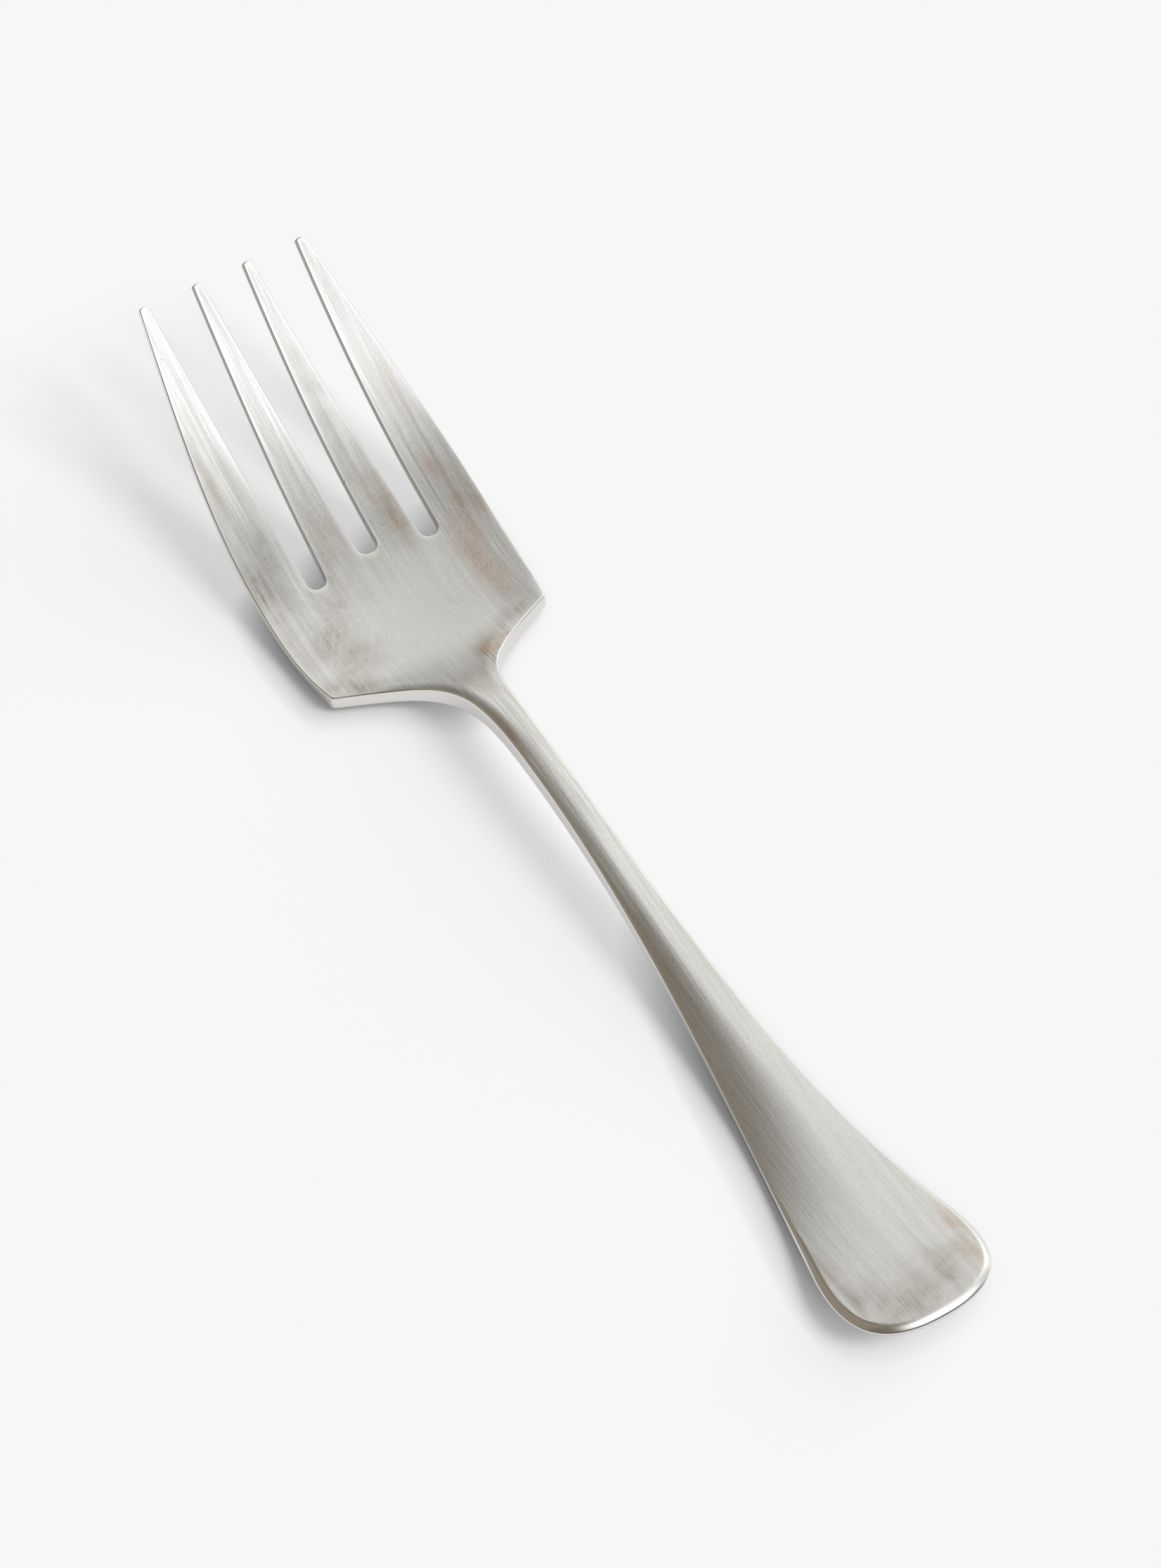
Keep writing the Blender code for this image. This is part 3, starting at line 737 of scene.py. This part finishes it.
middle_edge = slot_line(MIDDLE_SLOT_ROOT_AT, *MIDDLE_SLOT_EDGE)
inner_edge = slot_line(OUTER_SLOT_ROOT_AT, *OUTER_SLOT_NEAR_EDGE)
outer_edge = slot_line(OUTER_SLOT_ROOT_AT, *OUTER_SLOT_FAR_EDGE)


def along_edge(line, at, radius, side):
    """Face points and edge points of a right-hand or left-hand edge that is given as a line."""
    at = np.atleast_1d(np.asarray(at, float))
    slope = (line(at + EDGE_STEP) - line(at - EDGE_STEP)) / (2 * EDGE_STEP)
    points = np.stack([line(at), at], axis=1)
    ways = side * np.stack([slope, np.ones_like(at)], axis=1)
    return round_off(points, ways, radius), points


def slot_corner(line, root_at, side):
    """Face points and edge points round a corner of a slot's closed end, from its floor to its wall."""
    turn = np.linspace(0.0, math.pi / 2, ARC_CELLS + 1)
    spoke = np.stack([side * np.sin(turn), -np.cos(turn)], axis=1)
    centre = np.array([line(root_at) - side * SLOT_CORNER, root_at + SLOT_CORNER])
    return centre + spoke * (SLOT_CORNER + SLOT_ROUND), centre + spoke * SLOT_CORNER


# Right half of the row that runs along the slots' closed ends: slot, inner tine, slot, outer tine
middle_corner = slot_corner(middle_edge, MIDDLE_SLOT_ROOT_AT, 1)
near_corner = slot_corner(inner_edge, OUTER_SLOT_ROOT_AT, -1)
far_corner = slot_corner(outer_edge, OUTER_SLOT_ROOT_AT, 1)
side_end = along_edge(palm_half, OUTER_SLOT_ROOT_AT + SLOT_CORNER, EDGE_ROUND, 1)
slot_floor = tuple(points[0] * (0.0, 1.0) for points in middle_corner)
floor_between = tuple((near_corner[k][0] + far_corner[k][0]) / 2 for k in (0, 1))


def between(start, end, cells):
    """Face points from one edge to the next, without either end."""
    share = np.linspace(0.0, 1.0, cells + 1)[1:-1, None]
    return start * (1 - share) + end * share


def bare(points):
    """Missing edge points for face points that lie on no edge."""
    return np.full(points.shape, np.nan)


inner_lane = between(middle_corner[0][-1], near_corner[0][-1], INNER_CELLS)
outer_lane = between(far_corner[0][-1], side_end[0][0], OUTER_CELLS)
root_face = np.concatenate([slot_floor[0][None], middle_corner[0], inner_lane, near_corner[0][::-1],
                            floor_between[0][None], far_corner[0], outer_lane, side_end[0]])
root_edge = np.concatenate([slot_floor[1][None], middle_corner[1], bare(inner_lane),
                            near_corner[1][::-1], floor_between[1][None], far_corner[1],
                            bare(outer_lane), side_end[1]])
root_face = np.concatenate([root_face[:0:-1] * (-1, 1), root_face])
root_edge = np.concatenate([root_edge[:0:-1] * (-1, 1), root_edge])
root_shares = root_face[:, 0] / root_face[-1, 0]

# Right-hand outline from the neck round the shoulder's corner and up the side
side_way = np.array([SHOULDER_FLARE, 1.0]) / math.hypot(SHOULDER_FLARE, 1.0)
corner_start = shoulder_corner - CORNER_CUT * shoulder_way
corner_stop = shoulder_corner + CORNER_CUT * side_way
corner_pull = (corner_start + 2 * shoulder_corner) / 3, (corner_stop + 2 * shoulder_corner) / 3
corner_edge, corner_ways = bezier((corner_start, *corner_pull, corner_stop),
                                  np.linspace(0.0, 1.0, CORNER_ROWS + 1))
corner_face = round_off(corner_edge, corner_ways, EDGE_ROUND)
side_at = np.linspace(corner_stop[1], SIDE_ROWS_END, SIDE_ROWS + 1)[1:]
side_face, side_edge = along_edge(palm_half, side_at, EDGE_ROUND, 1)
palm_face = np.concatenate([shoulder_face[neck_rows - 1:], corner_face, side_face])
palm_edge = np.concatenate([shoulder_edge[neck_rows - 1:], corner_edge, side_edge])
palm_points, palm_edges = straight_rows(palm_face, palm_edge, even_shares)
to_lanes = ease(palm_face[:, 1], NECK_FRONT_AT, LANES_FULL_AT)[:, None]
palm_points[..., 0] = palm_face[:, :1] * (even_shares * (1 - to_lanes) + root_shares * to_lanes)

fan = np.linspace(0.0, 1.0, FAN_ROWS + 1)[1:, None, None]
fan_points = palm_points[-1] * (1 - fan) + root_face * fan
fan_edges = palm_edges[-1] * (1 - fan) + root_edge * fan
fan_edges[-1] = root_edge
head_patches = [(np.concatenate([palm_points, fan_points]), np.concatenate([palm_edges, fan_edges]))]


def lane(near, far, cells, at):
    """Row of a tine between two edges at one place along the fork, with its edge points."""
    to_tip = ease(at, TINE_BEND_AT, HEAD_LENGTH)
    sides = []
    for line, radius, side in (near, far):
        sides.append(along_edge(line, at, radius + (TIP_EDGE_ROUND - radius) * to_tip, side))
    (near_face, near_edge), (far_face, far_edge) = sides
    inside = between(near_face[0], far_face[0], cells)
    return (np.concatenate([near_face, inside, far_face]),
            np.concatenate([near_edge, bare(inside), far_edge]))


def mirrored(line):
    """The same edge on the left of the fork."""
    return lambda at: -line(at)


# The tines, by the first column of the root row that they grow from, their cells across it, and their
# two edges: a line, the radius of the edge there, and 1 for a right-hand edge or -1 for a left-hand one
first_inner = COLUMNS // 2 + 1 + ARC_CELLS
first_outer = first_inner + INNER_CELLS + 2 * ARC_CELLS + 2
TINES = {
    "right_inner_tine": (first_inner, INNER_CELLS,
                         (middle_edge, SLOT_ROUND, -1),
                         (inner_edge, SLOT_ROUND, 1)),
    "right_outer_tine": (first_outer, OUTER_CELLS,
                         (outer_edge, SLOT_ROUND, -1),
                         (palm_half, EDGE_ROUND, 1)),
    "left_inner_tine": (COLUMNS - first_inner - INNER_CELLS, INNER_CELLS,
                        (mirrored(inner_edge), SLOT_ROUND, -1),
                        (mirrored(middle_edge), SLOT_ROUND, 1)),
    "left_outer_tine": (COLUMNS - first_outer - OUTER_CELLS, OUTER_CELLS,
                        (mirrored(palm_half), EDGE_ROUND, -1),
                        (mirrored(outer_edge), SLOT_ROUND, 1)),
}
rise = np.linspace(0.0, 1.0, ROOT_ROWS + 1)[:, None, None]
for first, cells, near, far in TINES.values():
    root = slice(first, first + cells + 1)
    seam_face, seam_edge = lane(near, far, cells, TINE_ROOT_AT)
    head_patches.append((root_face[root] * (1 - rise) + seam_face * rise,
                         root_edge[root] * (1 - rise) + seam_edge * rise))
head = press("head", head_patches, palm_half)

# Tines
# Four tapered fingers left standing between the slots, bent up with the head, flat on the face and
# blunt at the tip, with every edge rounded over by the tumbling.
TINE_ROWS = 32
TIP_LENGTH = 1.5
TIP_ROUND = 0.3
TIP_BULGE = 0.12
TIP_CORNER_DROP = 0.3

tine_at = np.linspace(TINE_ROOT_AT, HEAD_LENGTH - TIP_LENGTH, TINE_ROWS)
tines = []
for name, (_, cells, near, far) in TINES.items():
    rows = [lane(near, far, cells, at) for at in tine_at]
    tip_face = lane(near, far, cells, HEAD_LENGTH - TIP_ROUND)[0]
    across = np.linspace(-1.0, 1.0, cells + 1)
    tip_face[:, 1] -= TIP_BULGE * across ** 2
    tip_out = (TIP_EDGE_ROUND * across ** 3, TIP_ROUND * (1 - TIP_CORNER_DROP * across ** 2))
    rows.append((tip_face, tip_face + np.stack(tip_out, axis=1)))
    patch = np.stack([row[0] for row in rows]), np.stack([row[1] for row in rows])
    tines.append(press(name, [patch], palm_half))

# Joins
# The regions are one piece of steel, so light runs over the lines between them unbroken: points that
# two regions share take one direction, the mean of the skin on both sides.
JOIN_REACH = 0.03 * MM
SKIN_CORNERS = 4
LEAST_LENGTH = 1e-12


def on_cut(polygon):
    """Whether a face is a flat cut between regions, which has more corners than the skin's faces."""
    return len(polygon.vertices) > SKIN_CORNERS


skins = []
for piece in (handle, neck, head, *tines):
    mesh = piece.data
    facing = np.zeros((len(mesh.vertices), 3))
    joined = set()
    for polygon in mesh.polygons:
        if on_cut(polygon):
            joined.update(polygon.vertices)
        else:
            facing[list(polygon.vertices)] += np.array(polygon.normal) * polygon.area
    skins.append((mesh, facing, sorted(joined)))
shared = [(mesh.vertices[i].co.copy(), facing[i].copy())
          for mesh, facing, joined in skins for i in joined]
near_points = KDTree(len(shared))
for i, (co, _) in enumerate(shared):
    near_points.insert(co, i)
near_points.balance()
for mesh, facing, joined in skins:
    for i in joined:
        found = near_points.find_range(mesh.vertices[i].co, JOIN_REACH)
        facing[i] = sum(shared[k][1] for _, k, _ in found)
    facing /= np.maximum(np.linalg.norm(facing, axis=1, keepdims=True), LEAST_LENGTH)
    normals = np.empty((len(mesh.loops), 3))
    for polygon in mesh.polygons:
        direction = polygon.normal if on_cut(polygon) else facing[list(polygon.vertices)]
        normals[list(polygon.loop_indices)] = direction
    mesh.normals_split_custom_set(normals.tolist())

# Floor
# A sheet of white paper, wide enough to fill every view, which keeps the fork's shadow. Part of its
# white is a glow of its own, for the eye and for what the steel mirrors, so that the shadow stays as
# light as on paper in a bright room; that glow fades in the crease beside the steel, away from the
# bright side, which paints a dark contact shadow into the paper along the steel's edges.
PAPER = "#EFEFEF"
PAPER_OWN = "#FFFFFF"
PAPER_OWN_SHARE = 0.53
PAPER_ROUGHNESS = 0.9
# How far from the steel and how steeply the painted contact shadow darkens the paper's own white
PAINTED_SHADOW_REACH = 6.5 * MM
PAINTED_SHADOW_DEPTH = 1.7
BRIGHT_WAY = (0.68, -0.48, 0.55)
FLOOR_REACH = 9.0
FLOOR_DROP = 0.05 * MM

paper = bpy.data.materials.new("white_paper")
paper.use_nodes = True
sheet = paper.node_tree
sheet_shader = sheet.nodes["Principled BSDF"]
sheet_shader.inputs["Base Color"].default_value = linear(PAPER)
sheet_shader.inputs["Roughness"].default_value = PAPER_ROUGHNESS
sheet_shader.inputs["Specular IOR Level"].default_value = 0.0
sheet_shader.inputs["Emission Color"].default_value = linear(PAPER_OWN)
seen = add(sheet, "LightPath", {}).outputs
mirrored_view = add(sheet, "Math", {0: seen["Is Glossy Ray"], 1: seen["Is Transmission Ray"]},
                    operation="MAXIMUM").outputs[0]
any_view = add(sheet, "Math", {0: seen["Is Camera Ray"], 1: mirrored_view},
               operation="MAXIMUM").outputs[0]
# The own white fades where the steel hides the sky towards the bright side: painted contact shadow
bright_way = add(sheet, "CombineXYZ", dict(enumerate(BRIGHT_WAY))).outputs[0]
open_sky = add(sheet, "AmbientOcclusion", {"Distance": PAINTED_SHADOW_REACH, "Normal": bright_way},
               samples=4).outputs["AO"]
painted_shadow_fade = add(sheet, "Math", {0: open_sky, 1: PAINTED_SHADOW_DEPTH}, operation="POWER").outputs[0]
own_share_in_painted_shadow = add(sheet, "Math", {0: painted_shadow_fade, 1: PAPER_OWN_SHARE}, operation="MULTIPLY").outputs[0]
own_white_with_painted_shadow = add(sheet, "Math", {0: any_view, 1: own_share_in_painted_shadow}, operation="MULTIPLY").outputs[0]
sheet.links.new(own_white_with_painted_shadow, sheet_shader.inputs["Emission Strength"])
floor_mesh = bpy.data.meshes.new("paper_floor")
corners = [(x * FLOOR_REACH, y * FLOOR_REACH, -FLOOR_DROP)
           for x, y in ((-1, -1), (1, -1), (1, 1), (-1, 1))]
floor_mesh.from_pydata(corners, [], [(0, 1, 2, 3)])
floor_mesh.materials.append(paper)
floor = bpy.data.objects.new("paper_floor", floor_mesh)
bpy.context.scene.collection.objects.link(floor)

# Light
# A pale room for the steel to mirror: dim and warm on the left, bright on the right, a cool panel above
# the camera, dark behind the camera and in a corner beside it. It doesn't light the paper: two soft
# lamps do, which the steel doesn't mirror, a window that throws the shadow and the pale right wall.
DIM = 0.32
DIM_TINT = "#FFF1D8"
RIGHT = 1.24
FAR_RIGHT_GAIN = 1.06
FAR_END_GAIN = 0.80
NEAR_END_GAIN = 0.60
PANEL = 2.15
PANEL_TINT = "#F7F9FF"
CORNER_DARK = 0.2
CAMERA_DARK = 0.12
BACKDROP = 0.93
CLEAR_TINT = "#FFFFFF"

room = bpy.data.worlds.new("pale_room")
room.use_nodes = True
bpy.context.scene.world = room
room.cycles_visibility.diffuse = False
sky = room.node_tree
way = add(sky, "TexCoord", {}).outputs["Generated"]
way_parts = add(sky, "SeparateXYZ", {0: way}).outputs


def part_of_room(*steps):
    """How far a direction lies in a part of the room, given by soft steps of (axis, start, end)."""
    share = 1.0
    for axis, start, end in steps:
        inside = add(sky, "MapRange", {"Value": way_parts[axis], "From Min": start, "From Max": end},
                     interpolation_type="SMOOTHSTEP").outputs[0]
        share = add(sky, "Math", {0: share, 1: inside}, operation="MULTIPLY").outputs[0]
    return share


right = part_of_room(("X", 0.05, 0.29))
far_right = part_of_room(("X", 0.5, 0.85))
far_end = part_of_room(("Y", 0.86, 0.97))
near_end = part_of_room(("Y", 0.06, -0.02))
above = part_of_room(("Y", -0.10, -0.34), ("Z", 0.55, 0.78), ("X", -0.30, 0.12))
corner = part_of_room(("Y", -0.46, -0.56), ("X", 0.44, 0.32), ("Z", 0.80, 0.70))
behind = part_of_room(("Y", -0.28, -0.52), ("Z", 0.72, 0.5))
clear = part_of_room(("X", -0.10, 0.18))
from_camera = add(sky, "LightPath", {}).outputs["Is Camera Ray"]

level = add(sky, "Mix", {0: right, 2: DIM, 3: RIGHT}, data_type="FLOAT").outputs[0]
for share, most in ((far_right, FAR_RIGHT_GAIN), (far_end, FAR_END_GAIN), (near_end, NEAR_END_GAIN)):
    gain = add(sky, "Mix", {0: share, 2: 1.0, 3: most}, data_type="FLOAT").outputs[0]
    level = add(sky, "Math", {0: level, 1: gain}, operation="MULTIPLY").outputs[0]
for share, target in ((above, PANEL), (corner, CORNER_DARK), (behind, CAMERA_DARK),
                      (from_camera, BACKDROP)):
    level = add(sky, "Mix", {0: share, 2: level, 3: target}, data_type="FLOAT").outputs[0]
tint = linear(DIM_TINT)
for share, target in ((clear, CLEAR_TINT), (above, PANEL_TINT), (from_camera, CLEAR_TINT)):
    tint = add(sky, "Mix", {0: share, 6: tint, 7: linear(target)}, data_type="RGBA").outputs[2]
sky.links.new(tint, sky.nodes["Background"].inputs["Color"])
sky.links.new(level, sky.nodes["Background"].inputs["Strength"])


def soft_lamp(name, direction, spread, share):
    """Far lamp of a wide angle, in degrees, that gives the paper a share of its light."""
    lamp = bpy.data.lights.new(name, "SUN")
    to_lamp = Vector(direction).normalized()
    lamp.angle = math.radians(spread)
    lamp.energy = share * math.pi / to_lamp.z
    holder = bpy.data.objects.new(name, lamp)
    holder.rotation_euler = to_lamp.to_track_quat("Z", "Y").to_euler()
    holder.visible_glossy = False
    bpy.context.scene.collection.objects.link(holder)


soft_lamp("window_light", direction=(0.45, -0.54, 0.71), spread=25.0, share=0.245)
soft_lamp("wall_light", direction=(0.84, 0.07, 0.53), spread=60.0, share=0.214)

# Camera
# It looks down at the fork from the handle's left, so that the handle's end comes nearest and the
# tines run away from it. Its place and aim are in metres and its lens in millimetres.
CAMERA_AT = Vector((-0.23552, -0.38961, 0.65954))
CAMERA_AIM = Vector((0.00571, 0.00205, 0.005))
LENS = 100.09

camera_lens = bpy.data.cameras.new("camera")
camera_lens.lens = LENS
camera = bpy.data.objects.new("camera", camera_lens)
camera.location = CAMERA_AT
camera.rotation_euler = (CAMERA_AIM - CAMERA_AT).to_track_quat("-Z", "Y").to_euler()
bpy.context.scene.collection.objects.link(camera)
bpy.context.scene.camera = camera
bpy.context.scene.view_settings.view_transform = "Standard"
